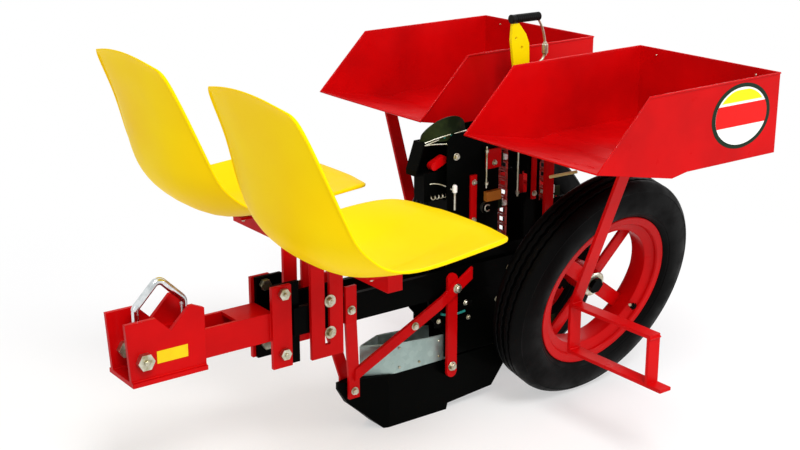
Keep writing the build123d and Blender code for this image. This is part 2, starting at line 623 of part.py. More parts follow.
def wheels():
    """Press wheels: spoked steel rims, tyres, the hubs' sprockets and the axles that carry them."""
    place = wheel_plane()
    half = RIM_W / 2
    inner = WELL_R - SHEET
    ring = turned([
        (RIM_R, half), (RIM_R, half - SHEET), (BEAD_R, half - SHEET), (WELL_R, WELL_HALF), (WELL_R, -WELL_HALF),
        (BEAD_R, SHEET - half), (RIM_R, SHEET - half), (RIM_R, -half), (BEAD_R - SHEET, -half),
        (inner, -WELL_HALF), (inner, WELL_HALF), (BEAD_R - SHEET, half),
    ])
    low, top = HUB_Z
    spoke = Pos((HUB_R + inner) / 2, 0, SPOKE_Z) * Box(inner - HUB_R + SHEET, SPOKE_W, SPOKE_T)
    rim = ring + along(HUB_R, low + DRIVE_T, top)
    for k in range(SPOKES):
        rim += Rot(0, 0, SPOKE_AT + k * 360 / SPOKES) * spoke
    bore = along(AXLE_R + AXLE_FIT, low - OVER, top + OVER)
    save_pair("rim", place * (rim - bore))

    drive = along(DRIVE_R, low, low + DRIVE_T)
    rise, width = DRIVE_TOOTH
    for k in range(DRIVE_TEETH):
        tooth = Pos(DRIVE_R + rise / 2 - OVER, 0, low + DRIVE_T / 2) * Box(rise + OVER, width, DRIVE_T)
        drive += Rot(0, 0, k * 360 / DRIVE_TEETH) * tooth
    save_pair("hub_sprocket", place * (drive - bore))

    r0 = BEAD_R + FIT
    side = TYRE_W / 2
    bead = half - SHEET - FIT
    fall, inset = SHOULDER
    waist = RIM_R + TYRE_WAIST
    edge = RIM_R + FIT
    tyre = [
        (r0, bead), (edge, bead), (edge, half), (waist, side), (TYRE_R - fall, side - inset), (TYRE_R, TREAD_HALF),
        (TYRE_R, -TREAD_HALF), (TYRE_R - fall, inset - side), (waist, -side), (edge, -half), (edge, -bead),
        (r0, -bead),
    ]
    save_pair("tyre", place * turned(tyre))

    far = low - MOVING_GAP
    collar = along(COLLAR_R, far - COLLAR_L, far)
    nut = extrude(RegularPolygon(AXLE_NUT_AF / 2, 6, major_radius=False), amount=AXLE_NUT_H)
    nut = Pos(0, 0, top + MOVING_GAP) * nut
    length, thick, height = CARRIER
    middle = place.location.position.Z - far * sin(radians(CAMBER)) + COLLAR_R / 2
    axle = place * (along(AXLE_R, far - COLLAR_L, top + MOVING_GAP) + collar + nut)
    carrier = block((WHEEL_X - length / 2, WHEEL_X + length / 2), (RAIL_OUT, RAIL_OUT + thick),
                    (middle - height / 2, middle + height / 2))
    save_pair("axle", axle + carrier)


def main():
    """Write every node."""
    os.makedirs("parts", exist_ok=True)
    hitch()
    frame()
    seats()
    opener()
    planting_chain()
    planting_unit()
    trays()
    wheels()


main()
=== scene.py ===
"""Looks of the one-row bare root transplanter, laid out as a Blender add-on and run as a script."""
import json
from math import atan2, cos, pi, radians, sin

import bmesh
import bpy
from bpy.props import FloatProperty, IntProperty, PointerProperty, StringProperty
from mathutils import Matrix, Vector


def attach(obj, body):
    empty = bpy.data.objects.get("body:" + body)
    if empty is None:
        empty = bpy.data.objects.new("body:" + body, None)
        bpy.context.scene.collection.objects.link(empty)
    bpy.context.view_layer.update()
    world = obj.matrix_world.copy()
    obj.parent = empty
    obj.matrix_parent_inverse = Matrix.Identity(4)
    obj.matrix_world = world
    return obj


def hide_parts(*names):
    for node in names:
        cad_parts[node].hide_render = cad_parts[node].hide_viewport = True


bl_info = {
    "name": "Bare root transplanter",
    "version": (1, 0, 0),
    "blender": (4, 5, 0),
    "location": "View3D > Sidebar > Transplanter",
    "description": "Dresses the packed transplanter: seats, wheels, planting chain, finishes and stage",
    "category": "Object",
}

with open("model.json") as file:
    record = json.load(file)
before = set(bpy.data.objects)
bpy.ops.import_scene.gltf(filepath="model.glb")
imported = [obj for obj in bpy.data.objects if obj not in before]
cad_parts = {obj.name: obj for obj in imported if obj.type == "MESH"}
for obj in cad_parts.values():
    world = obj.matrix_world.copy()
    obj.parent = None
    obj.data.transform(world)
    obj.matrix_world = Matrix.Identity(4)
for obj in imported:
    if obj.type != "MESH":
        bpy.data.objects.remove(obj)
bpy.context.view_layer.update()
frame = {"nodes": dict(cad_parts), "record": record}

MM = 0.001
DATUM = 41.3  # the lengths below count from a datum this far behind the middle of the machine
SEAT_Y = 262.0
SEAT_SECTIONS = (  # x, z, tilt from upright, half width, rise of the edges
    (-34, 572, 50, 110, -6), (-20, 585, 74, 148, -10), (32, 586, 96, 198, 6), (90, 571, 104, 210, 22),
    (150, 550, 103, 216, 40), (250, 527, 95, 216, 53), (365, 537, 62, 214, 55), (440, 604, 36, 214, 54),
    (457, 650, 14, 214, 42), (463, 710, 7, 204, 26), (480, 800, 14, 180, 12), (508, 870, 20, 173, 9),
    (523, 908, 20, 162, 6), (528, 921, 20, 144, 4),
)
SEAT_CREASE = 80.0  # half width of the flat middle of the pan
SEAT_BOWS = (  # for each section: share of one even bow, how far its middle lies back, its crown
    (0, 0, 0), (0, 0, 0), (0, 0, 0), (0, 0, 0), (0, 0, 0), (0.2, 0, 0), (0.6, 2, 0),
    (1, 7, 0), (1, 12, 0), (1, 15, 0), (1, 12, 1), (1, 7, 6), (1, 2, 13), (1, 0, 17),
)
SEAT_BOW_POWER = 2.4
SEAT_DISH = 0.1  # how much of a section's rise is in its middle
SEAT_COLUMNS = (0.0, 40.0, 72.0, 88.0)  # distances from the middle that all sections share
SEAT_WING = (0.3, 0.62, 0.88, 0.97, 1.0)  # shares of the rest, out to the edge
PAN_MIDDLE = (150.0, 542.0)  # x and z of a place on the pan
CAMBER = 14.7
TOE = 3.0
WHEEL_X = -502.0
WHEEL_Y = 171.5
TYRE_R = 300.0
TREAD_HALF = 33.0
TYRE_SIDE = (  # radius and half width from the bead to the shoulder
    (190.8, 37.4), (206.0, 37.4), (208.5, 40.5), (212.0, 45.0), (218.0, 50.0), (221.0, 50.6), (223.0, 53.0),
    (232.0, 56.0), (246.0, 57.0), (260.0, 56.2), (272.0, 53.6), (281.0, 50.2), (283.0, 50.6), (285.5, 49.0),
    (291.0, 44.0), (295.5, 38.5), (298.5, 33.5),
)
TYRE_TREAD = (  # radius and half width across the ribs, from the shoulder to the middle
    (300.0, 28.0), (300.0, 24.0), (298.6, 22.6), (291.5, 21.6), (291.5, 17.4), (298.6, 16.4), (300.0, 15.0),
    (300.0, 6.4), (298.6, 5.0), (291.5, 4.0), (291.5, 0.0),
)
TYRE_BORE = ((191.5, -18.0), (196.0, 0.0), (191.5, 18.0))
SWAY = 1.5  # how far the grooves sway to each side
SWAY_OVER = 291.0  # radius from which the tread sways
SWAY_WITHIN = (1.0, 23.0)
RIM_OUTER = (  # radius and half width on the side of the tyre
    (204.2, 43.0), (206.6, 42.2), (207.4, 40.2), (206.8, 38.2), (203.0, 37.7), (193.0, 37.7), (190.5, 36.0),
    (190.4, 28.5), (188.0, 26.5), (178.0, 24.5), (167.5, 22.0), (166.0, 19.0),
)
RIM_INNER = (  # radius and half width on the side of the hub
    (161.2, 19.0), (162.0, 22.6), (166.0, 25.2), (177.0, 28.4), (184.0, 31.0), (185.6, 33.4), (185.6, 38.0),
    (188.6, 41.4), (193.0, 42.0), (201.0, 42.2),
)
SPOKES = 4
SPOKE_AT = 55.2  # angle of the first one
SPOKE_Z = -13.0
SPOKE_SIZE = (131.0, 38.0, 8.0)
SPOKE_MIDDLE = 97.5  # radius of its middle
HUB_TURNED = (  # radius and place along the axle
    (15.05, -80.0), (29.0, -80.0), (31.0, -78.0), (31.0, -62.0), (34.0, -59.0), (34.0, -22.0), (32.0, -19.0),
    (32.0, -1.0), (30.0, 3.0), (27.0, 5.0), (15.05, 5.0),
)
HUB_SEAL = (  # radius and place along the axle
    (20.0, 5.2), (29.5, 5.2), (30.5, 3.2), (33.0, 3.2), (33.0, 6.2), (31.0, 8.2), (20.0, 8.2),
)
HUB_STEPS = 48
VALVE_AT = 149.0  # angle round the rim
VALVE_FOOT = (181.0, 26.0)  # radius and place along the axle
VALVE_LEAN = -70.0
VALVE_STEM = ((11, 3, 0), (8, 8, 4), (4.5, 26, 16))  # here and below: radius, length, middle
VALVE_CAP = (4.0, 9.0, 32.0)
CHAIN_X = -414.0
CHAIN_TOP = 630.0  # height of the upper sprocket's middle
LINK_PITCH = 23.5
LINKS = 60
TEETH = 18
HOLDER_STEP = 5  # links from holder to holder
CHAIN_R = LINK_PITCH * TEETH / (2 * pi)
CHAIN_RUN = (LINK_PITCH * LINKS - 2 * pi * CHAIN_R) / 2
CHAIN_LOW = CHAIN_TOP - CHAIN_RUN
LINK_SIDE = (6.0, 4.0, LINK_PITCH - 1.0)
LINK_SIDE_Y = 13.5
LINK_CROSS = (3.0, 29.0)  # radius and length of the bars across a link
LINK_CROSS_Z = LINK_PITCH / 2 - 3.4
CLIP = (10.0, 44.0, 14.0)
PIN = (3.2, 2.4)  # radius and length
PIN_Y = 15.0
HALF = 40.5  # outer face of the side plates
RAIL = 53.0  # outer face of the frame rails
SIDE_BOLTS = (  # x, outer face, z, width over flats, radius of the washer or 0 for none
    (214, 62, 376, 18, 15), (214, 62, 300, 18, 15), (155, 61, 340, 15, 11), (122, 23, 116, 14, 10),
    (-143, 61, 126, 16, 12), (-185, RAIL, 341, 16, 12),
    (-330, RAIL, 341, 16, 12), (-540, RAIL, 341, 16, 12), (-448, 61, 352, 16, 12), (-448, 61, 324, 16, 12),
    (-165, HALF, 650, 12, 9), (-165, HALF, 440, 12, 9), (-275, HALF, 440, 12, 9), (-278, 46.5, 620, 10, 7),
    (-216, 46.5, 580, 10, 7), (-216, 46.5, 485, 10, 7), (-402, 46.5, 690, 12, 9), (-410, 46.5, 520, 10, 7),
    (673, 64.5, 340, 12, 0), (330, 60.5, 272, 9, 0), (330, 60.5, 415, 9, 0),
)
LEFT_BOLTS = ((-31, 57.6, 256, 14, 10), (-150, 69, 330, 16, 12))
RIGHT_BOLTS = ((-150, 61, 330, 16, 12),)
HEAD_HIGH = 0.45  # height of a bolt's head, as a share of the width over flats
HEAD_R = 0.56
SHANK_R = 0.3
SHANK_END = 1.2  # height of the shank's visible end
SHANK_OUT = 0.5  # its middle over the head
WASHER_T = 2.0
TRAY_RIVETS = (143, 458)
TRAY_RIVET_AT = (-720, 848)
TRAY_RIVET = (5, 0)  # here and below: width over flats, radius of the washer
RODS = (  # finish, radius, then the stops along the rod
    ("zinc", 2.2, (-252, 49, 664), (-252, 49, 560)),
    ("zinc", 2.2, (-357, 44, 665), (-357, 44, 521)),
    ("zinc", 2.2, (-474, 44, 600), (-474, 44, 478)),
    ("zinc", 3.2, (-159, 43.5, 520), (-159, 43.5, 562)),
    ("zinc", 1.6, (-102, 20, 588), (-128, 30, 592), (-159, 43.5, 566)),
    ("zinc", 1.6, (-86, 20, 690), (-120, 28, 700), (-150, 37, 706)),
    ("zinc", 1.6, (-86, 20, 684), (-112, 26, 686), (-139, 38, 684)),
    ("zinc", 1.8, (-86, 20, 684), (-120, 26, 694), (-170, 33, 706), (-205, 42, 711)),
    ("zinc", 3.0, (-448, 0, 947), (-462, 0, 930), (-474, 0, 890), (-474, 0, 850),
     (-455, 0, 836), (-421, 0, 822)),
    ("straw_paint", 4.0, (-440, 70, 562), (-466, 138, 586)),
)
COIL_START = (-96, 29, 556)
COIL_R = 5.0
COIL_STEP = 1.9  # along X from point to point
COIL_POINTS = 34
COIL_WIRE = 1.3
ROD_JOINT = (-474, 0, 870)
ROD_JOINT_DRUMS = ((8, 24, 20, 1.5), (5, 34, 16, 1.0))  # radius, length, sides, rounding
ROD_NUTS = ((-252, 49, 652), (-252, 49, 572), (-357, 44, 530), (-474, 44, 590), (-474, 44, 500))
ROD_NUT = (5, 8)  # radius and length
SHAFT_DISC = (10, 2.0, (-414, 50.2, 630))  # here and below: radius, length, middle
WHITE_TIPS = ((6, 20, (-159, 43.5, 572), 2.5), (5.5, 22, (-474, 44, 520), 2.0))  # then the rounding
HEM_R = 2.4
HEMS = (  # corners of a tray's edge: x, inner wall 0 or outer wall 1, z
    (-153, 1, 713), (-300, 1, 859), (-721.5, 1, 863), (-721.5, 0, 863), (-300, 0, 859), (-153, 0, 713),
)
TRAY_SIDES = (85.0, 525.0)
SLEEVES = (((-134, 29, 698), (-156, 31.5, 703)), ((-118, 47, 264), (-150, 48, 250), (-192, 47, 256)))
SLEEVE_R = 3.0
SNAP_RING = (-255, 51.6, 510, 8.0)  # x, y, z and radius of its middle line
SNAP_RING_SWEEP = (220, 280, 20)  # first angle, angle swept, steps
SNAP_RING_WIRE = 1.8
IDLER_CAP = (14.5, 2.2, (-255, 49.4, 510))
CLUSTER = (  # x, z, width over flats of the small bolts below the rail
    (-104, 276, 9), (-150, 262, 9), (-196, 276, 9), (-112, 246, 8), (-160, 228, 10),
    (-205, 236, 8), (-300, 262, 9), (-300, 180, 9), (-330, 230, 8),
)
CLUSTER_WASHER = 0.8  # radius of the washer, as a share of the width over flats
BRACKETS = (  # middle and size of the flat brackets below the rail
    ((-158, 42.5, 268), (120, 4, 20)), ((-150, 42.5, 236), (96, 4, 16)),
)
BRACKET_FACE = 44.5
BRACKET_BOLTS = (-216, -98, 225)  # the bolts between these x and above this z are on the brackets
GRIP = (-406.0, 953.0, 11.0, 92.0)  # x, z, radius, length
GRIP_RIBS = 12
GRIP_FIRST = 5.0  # where the first groove starts
GRIP_PLAIN = 16.0  # length that has no grooves
GRIP_START = ((-2.0, 0.0), (-0.5, 1.5))  # here and below: from the radius, along the grip
GRIP_GROOVE = ((-0.5, 0.0), (-1.6, 1.0), (-1.6, 2.6), (-0.5, 3.6))
GRIP_COLLAR = ((-0.5, 6.0), (0.0, 5.0), (0.0, 1.5), (-1.5, 0.0))
GRIP_AXIS = 0.01  # radius at the middle of both ends
SHROUD_LIP = ((-143, 36, 201.5), (14, 36, 213), (91, 0.5, 214), (14, -36, 213), (-143, -36, 201.5))
LIP_R = 1.9
SHROUD_RIVETS = ((-120, 150), (-60, 150), (0, 150), (-120, 190), (0, 200))
SHROUD_RIVET = (6, 0)
SHROUD_FACE = 36.0
PAD_BOLTS = ((171, 217), (271, 217), (171, 307), (271, 307))
PAD_BOLT = (10, 8)
PAD_UNDER = 513.2
CARRIER_BOLTS = ((-524, 350), (-480, 350), (-524, 290), (-480, 290))
CARRIER_BOLT = (12, 9)
CARRIER_FACE = 62.0
WELD_R = 2.6
WELD_STEP = 4.0  # from ripple to ripple
WELD_RIPPLE = 0.5
WELDS = (  # runs of weld on both sides of the machine
    ((528, 51, 297), (703, 51, 297)), ((528, 40, 297), (703, 40, 297)),
    ((359.5, 41, 306), (359.5, 41, 371)), ((309, 41, 306), (309, 41, 371)),
    ((240.5, 62.5, 492), (240.5, 62.5, 477)), ((201.5, 62.5, 492), (201.5, 62.5, 477)),
    ((-301, 300, 325), (-335, 300, 325)), ((-301, 308.5, 328.5), (-335, 308.5, 328.5)),
    ((-301, 308.5, 212.5), (-335, 308.5, 212.5)), ((-301, 552, 212.5), (-335, 552, 212.5)),
    ((-301, 560.5, 320), (-335, 560.5, 320)), ((-434, 61.5, 668), (-462, 61.5, 668)),
)
LABEL = ((570, 643), (326, 354))  # from and to in x, from and to in z
LABEL_Y = 50.8
LABEL_T = 0.5
BADGE = (-596.0, 780.0)  # x and z of its middle
BADGE_WIDE = 1.3  # how much wider than high it is
BADGE_RINGS = ((75, "badge_black"), (66, "badge_white"))
BADGE_BANDS = (("badge_yellow", 34, 60, 62.0), ("badge_red", -22, 28, 66.0))  # from, to and radius
RING_T = 0.4
RING_LIFT = 0.25  # middle of the first ring over the tray
RING_STEP = 0.3
BAND_T = 0.3
BAND_LIFT = 0.95
DISC_SIDES = 64
LAMPS = (  # name, place and size in metres, power in watts
    ("key_lamp", (1.2, 3.2, 4.8), 2.0, 215), ("fill_lamp", (4.8, 1.6, 2.4), 2.4, 12),
    ("back_lamp", (-3.6, -2.6, 3.6), 2.6, 70), ("side_lamp", (-3.4, 3.6, 1.8), 2.2, 60),
)
LAMPS_AIM = (0, 0, 0.4)
FLOOR_WHITE = {"From Min": 0.7, "From Max": 2.2, "To Min": 0.5}  # metres from the middle, least white
SKY_LIGHT = 0.56
CAMERA_AT = (1.8831, 2.5374, 1.4775)
CAMERA_AIM = (-0.5665, -0.7684, -0.2974)
CAMERA_LENS = 62.66
CAMERA_SENSOR = 36.0

finishes = {}  # material of each slot, filled by the first operator


def linear(code):
    """Linear colour of an sRGB hex code."""
    values = [int(code[i:i + 2], 16) / 255 for i in (1, 3, 5)]
    return [v / 12.92 if v <= 0.04045 else ((v + 0.055) / 1.055) ** 2.4 for v in values] + [1.0]


def at(x, y, z):
    """Place in metres of a point in the machine's own millimetres."""
    return Vector(((x + DATUM) * MM, y * MM, z * MM))


def spot(x, y, z):
    """Matrix that moves a form to that point."""
    return Matrix.Translation(at(x, y, z))


def shift(x, y, z):
    """Matrix that moves a form by so many millimetres."""
    return Matrix.Translation((x * MM, y * MM, z * MM))


def add(tree, kind, settings=None, links=None):
    """Add a node with its settings and the outputs linked to its sockets."""
    node = tree.nodes.new(kind)
    for key, value in (settings or {}).items():
        if isinstance(key, str) and hasattr(node, key):
            setattr(node, key, value)
        else:
            node.inputs[key].default_value = value
    for key, output in (links or {}).items():
        tree.links.new(output, node.inputs[key])
    return node


def blank(name):
    """New node material with its tree, its Principled shader and the object's coordinates."""
    material = bpy.data.materials.new(name)
    material.use_nodes = True
    tree = material.node_tree
    place = add(tree, "ShaderNodeTexCoord").outputs["Object"]
    return material, tree, tree.nodes["Principled BSDF"], place


def noise(tree, place, size_mm, detail=2.0, roughness=0.5):
    """Noise whose grain is about this many millimetres."""
    settings = {"Scale": 1 / (size_mm * MM), "Detail": detail, "Roughness": roughness}
    return add(tree, "ShaderNodeTexNoise", settings, {"Vector": place}).outputs["Fac"]


def span(tree, value, low, high, to_low, to_high):
    """Value mapped from one range to another, and kept inside it."""
    settings = {"From Min": low, "From Max": high, "To Min": to_low, "To Max": to_high}
    return add(tree, "ShaderNodeMapRange", settings, {"Value": value}).outputs["Result"]


def blend(tree, factor, first, second):
    """Colour between two hex codes or outputs."""
    node = add(tree, "ShaderNodeMix", {"data_type": "RGBA"}, {0: factor})
    for key, value in ((6, first), (7, second)):
        if isinstance(value, str):
            node.inputs[key].default_value = linear(value)
        else:
            tree.links.new(value, node.inputs[key])
    return node.outputs[2]


def rounded(tree, radius_mm):
    """Normal that rounds the sharp edges of a plate."""
    return add(tree, "ShaderNodeBevel", {"samples": 6, "Radius": radius_mm * MM}).outputs["Normal"]


def edges(tree, radius_mm):
    """Mask of the outer edges, from how far the rounded normal leans."""
    lean = rounded(tree, radius_mm)
    flat = add(tree, "ShaderNodeNewGeometry").outputs["True Normal"]
    dot = add(tree, "ShaderNodeVectorMath", {"operation": "DOT_PRODUCT"}, {0: lean, 1: flat}).outputs["Value"]
    return span(tree, dot, 0.97, 0.8, 0.0, 1.0)


def bump(tree, shader, height, depth_mm, strength, normal=None):
    """Bump of that depth on the shader, over a normal where one is given."""
    links = {"Height": height}
    if normal:
        links["Normal"] = normal
    node = add(tree, "ShaderNodeBump", {"Strength": strength, "Distance": depth_mm * MM}, links)
    tree.links.new(node.outputs["Normal"], shader.inputs["Normal"])


def feed(shader, values):
    """Set sockets of the shader, each to a number or to a node's output."""
    for name, value in values.items():
        if isinstance(value, bpy.types.NodeSocket):
            shader.id_data.links.new(value, shader.inputs[name])
        else:
            shader.inputs[name].default_value = value


def enamel(name, colour, worn, shade, chips, peel_mm=5.0, roughness=0.34, edge_mm=1.6, shine=0.05):
    """Sprayed enamel on plate: orange peel, uneven shade and gloss, and chips along the edges."""
    material, tree, shader, place = blank(name)
    deep = "#" + "".join("%02x" % round(int(colour[i:i + 2], 16) * shade) for i in (1, 3, 5))
    paint = blend(tree, span(tree, noise(tree, place, 160, 3.0), 0.35, 0.7, 0.0, 1.0), colour, deep)
    speck = span(tree, noise(tree, place, 7, 5.0, 0.7), 0.56, 0.66, 0.0, 1.0)
    mask = add(tree, "ShaderNodeMath", {"operation": "MULTIPLY"}, {0: edges(tree, 1.4), 1: speck}).outputs[0]
    mask = add(tree, "ShaderNodeMath", {"operation": "MULTIPLY", 1: chips}, {0: mask}).outputs[0]
    gloss = noise(tree, place, 45, 4.0)
    feed(shader, {
        "Base Color": blend(tree, mask, paint, worn),
        "Roughness": span(tree, gloss, 0.3, 0.7, roughness - 0.07, roughness + 0.09),
        "Specular IOR Level": shine, "Coat Weight": shine, "Coat Roughness": 0.1,
    })
    bump(tree, shader, noise(tree, place, peel_mm, 2.0), 0.25, 0.35, rounded(tree, edge_mm))
    return material


def plated(name, colour, dull, roughness, grain_mm):
    """Bright plated steel: metal colour with duller patches and a fine rolled grain."""
    material, tree, shader, place = blank(name)
    patch = noise(tree, place, 18, 4.0, 0.6)
    feed(shader, {
        "Base Color": blend(tree, span(tree, patch, 0.4, 0.68, 0.0, 1.0), colour, dull),
        "Roughness": span(tree, patch, 0.3, 0.7, roughness, roughness + 0.16),
        "Metallic": 1.0,
    })
    bump(tree, shader, noise(tree, place, grain_mm, 3.0), 0.12, 0.3, rounded(tree, 0.8))
    return material


def galvanised(name, colour, dark):
    """Hot-dip galvanised sheet: flat zinc crystals, each with its own shade and gloss."""
    material, tree, shader, place = blank(name)
    settings = {"Scale": 1 / (14 * MM), "Randomness": 1.0}
    crystal = add(tree, "ShaderNodeTexVoronoi", settings, {"Vector": place})
    split = add(tree, "ShaderNodeSeparateColor", None, {"Color": crystal.outputs["Color"]})
    shade = blend(tree, span(tree, split.outputs[0], 0.0, 1.0, 0.0, 0.3), colour, dark)
    streak = span(tree, noise(tree, place, 60, 4.0), 0.45, 0.75, 0.0, 0.4)
    feed(shader, {
        "Base Color": blend(tree, streak, shade, dark),
        "Roughness": span(tree, split.outputs[1], 0.0, 1.0, 0.34, 0.5),
        "Metallic": 0.75,
    })
    bump(tree, shader, noise(tree, place, 9, 3.0), 0.2, 0.25, rounded(tree, 0.8))
    return material


def moulded(name, colour, shade, roughness, grain_mm, depth_mm, subsurface=0.0, scuffs="#3a3a3a"):
    """Moulded plastic or nylon: one colour through the wall, fine grain and a soft gloss."""
    material, tree, shader, place = blank(name)
    cloud = span(tree, noise(tree, place, 220, 2.0), 0.35, 0.7, 0.0, 1.0)
    scuff = span(tree, noise(tree, place, 26, 6.0, 0.65), 0.55, 0.75, 0.0, 0.12)
    gloss = noise(tree, place, 60, 4.0)
    feed(shader, {
        "Base Color": blend(tree, scuff, blend(tree, cloud, colour, shade), scuffs),
        "Roughness": span(tree, gloss, 0.3, 0.7, roughness, roughness + 0.12),
        "IOR": 1.49, "Specular IOR Level": 0.12,
        "Subsurface Weight": subsurface, "Subsurface Scale": 0.004,
    })
    bump(tree, shader, noise(tree, place, grain_mm, 3.0), depth_mm, 0.35)
    return material


def seat_shell(name, colour, shade):
    """Moulded seat: even colour, satin gloss, fine leather grain, rubbed patches and a little dust."""
    material, tree, shader, place = blank(name)
    cloud = span(tree, noise(tree, place, 260, 2.0), 0.35, 0.7, 0.0, 1.0)
    rubbed = span(tree, noise(tree, place, 90, 5.0, 0.6), 0.5, 0.75, 0.0, 0.5)
    dust = span(tree, noise(tree, place, 30, 6.0, 0.7), 0.6, 0.8, 0.0, 0.12)
    feed(shader, {
        "Base Color": blend(tree, dust, blend(tree, cloud, colour, shade), "#d9b400"),
        "Roughness": span(tree, rubbed, 0.0, 0.5, 0.42, 0.3),
        "Specular IOR Level": 0.035,
    })
    bump(tree, shader, noise(tree, place, 1.8, 3.0), 0.12, 0.3)
    return material


def rubber(name, colour, dusty, grain_mm, dust):
    """Cured rubber: near black, matt, with a fine grain and patches of pale dust."""
    material, tree, shader, place = blank(name)
    film = span(tree, noise(tree, place, 55, 5.0, 0.6), 0.42, 0.72, 0.0, dust)
    feed(shader, {
        "Base Color": blend(tree, film, colour, dusty),
        "Roughness": span(tree, film, 0.0, dust, 0.42, 0.72),
        "Specular IOR Level": 0.05,
    })
    bump(tree, shader, noise(tree, place, grain_mm, 4.0), 0.3, 0.4)
    return material


def decal(name, colour, faded):
    """Printed vinyl: a plain colour, faded in patches, on a slightly wavy face."""
    material, tree, shader, place = blank(name)
    fade = span(tree, noise(tree, place, 30, 3.0), 0.4, 0.7, 0.0, 0.35)
    body = blend(tree, fade, colour, faded)
    feed(shader, {"Base Color": body, "Roughness": 0.3, "Specular IOR Level": 0.15})
    bump(tree, shader, noise(tree, place, 6.0, 2.0), 0.1, 0.2)
    return material


def make_finishes(colours):
    """One material for each slot of the record, and those of the small pieces."""
    return {
        # gloss tractor enamel on welded plate and folded sheet: deep saturated red
        "red_paint": enamel("red_gloss_enamel", colours.red, "#5a2a22", 0.88, 0.4),
        # black chassis enamel: soft gloss, grey where it is chipped at the edges
        "black_paint": enamel("black_chassis_enamel", colours.black, "#3a3733", 0.6, 0.6, peel_mm=4.0,
                              roughness=0.42, shine=0.015),
        # hand-sprayed yellow on the lever
        "yellow_paint": enamel("yellow_lever_enamel", "#f7df00", "#8a7a30", 0.9, 0.6, peel_mm=4.0,
                               edge_mm=0.8),
        "orange_paint": enamel("orange_stop_enamel", "#bd742c", "#5e5248", 0.8, 0.6, peel_mm=4.0,
                               roughness=0.4, edge_mm=0.8),
        # chain of steel links, red paint worn back to brown steel
        "link_steel": enamel("worn_red_chain_steel", "#cf3d34", "#7a5448", 0.75, 1.0, peel_mm=3.0,
                             roughness=0.4, edge_mm=0.5, shine=0.2),
        # moulded polyethylene bucket seat
        "seat_plastic": seat_shell("yellow_moulded_polyethylene", colours.yellow, colours.yellow_deep),
        "white_plastic": moulded("white_nylon", "#f6f5f0", "#e4e2da", 0.3, 1.2, 0.1, subsurface=0.1,
                                 scuffs="#8a7a30"),
        "black_grip": moulded("black_vinyl_grip", "#020202", "#050505", 0.5, 1.4, 0.2),
        "tyre_rubber": rubber("carbon_black_tyre_rubber", "#020202", "#0b0909", 2.4, 0.2),
        "rubber": rubber("dark_green_rubber_belting", "#131b0e", "#34401f", 2.0, 0.7),
        # bright chromium on the toolbar's bolt
        "chrome": plated("bright_chromium_plate", "#dfe3e4", "#b9bfc0", 0.08, 3.0),
        # clear zinc on bolts and shafts
        "zinc": plated("clear_zinc_plate", "#cfcdbd", "#98906c", 0.26, 2.0),
        "galvanised": galvanised("hot_dip_galvanised_sheet", "#a7bcb7", "#7d938f"),
        # pale straw enamel on the scraper rod
        "straw_paint": enamel("straw_enamel", "#efe6a0", "#8a8158", 0.9, 0.6, peel_mm=4.0, roughness=0.36,
                              edge_mm=0.5),
        # heat-shrink sleeve on the wires
        "sleeve": moulded("teal_heat_shrink_sleeve", "#2a8f86", "#1f766f", 0.4, 1.0, 0.1),
        # printed vinyl, left without words
        "label_yellow": decal("yellow_vinyl_label", "#e9c70e", "#d8b408"),
        "badge_black": decal("dark_green_vinyl", "#04200c", "#0a2a14"),
        "badge_white": decal("white_vinyl", "#f1f1ec", "#e2e2da"),
        "badge_yellow": decal("yellow_vinyl", "#f4e409", "#e8d408"),
        "badge_red": decal("red_vinyl", "#e00a06", "#cc0806"),
    }


def dress(name, mesh, slot, body, finish=None):
    """Object of a mesh, with its body, its slot and the finish of that slot or another."""
    piece = bpy.data.objects.new(name, mesh)
    bpy.context.scene.collection.objects.link(piece)
    mesh.materials.clear()
    mesh.materials.append(finishes[finish or slot])
    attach(piece, body)
    return piece


def finish_piece(name, bm, slot, smooth, body="frame", replaces=None, finish=None):
    """Piece of a bmesh, sharp at edges over an angle where one is given, and the CAD node it stands for."""
    mesh = bpy.data.meshes.new(name)
    bm.normal_update()
    bm.to_mesh(mesh)
    bm.free()
    mesh.shade_smooth()
    if smooth:
        mesh.set_sharp_from_angle(angle=radians(smooth))
    piece = dress(name, mesh, slot, body, finish)
    if replaces:
        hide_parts(replaces)
    return piece


def tube(name, runs, radius_mm, slot, finish=None, cyclic=False, order=3):
    """Round rods on the frame, along smooth routes of (x, y, z) points."""
    curve = bpy.data.curves.new(name, "CURVE")
    curve.dimensions = "3D"
    curve.bevel_depth = radius_mm * MM
    curve.bevel_resolution = 3
    curve.use_fill_caps = True
    curve.resolution_u = 6
    for points in runs:
        line = curve.splines.new("NURBS")
        line.points.add(len(points) - 1)
        for point, place in zip(line.points, points):
            point.co = (*at(*place), 1.0)
        line.order_u = min(order, len(points))
        line.use_endpoint_u = not cyclic
        line.use_cyclic_u = cyclic
    shaped = bpy.data.objects.new(name + "_line", curve)
    bpy.context.scene.collection.objects.link(shaped)
    bpy.context.view_layer.update()
    mesh = bpy.data.meshes.new_from_object(shaped.evaluated_get(bpy.context.evaluated_depsgraph_get()))
    bpy.data.objects.remove(shaped)
    bpy.data.curves.remove(curve)
    mesh.name = name
    mesh.shade_smooth()
    mesh.set_sharp_from_angle(angle=radians(50))
    dress(name, mesh, slot, "frame", finish)


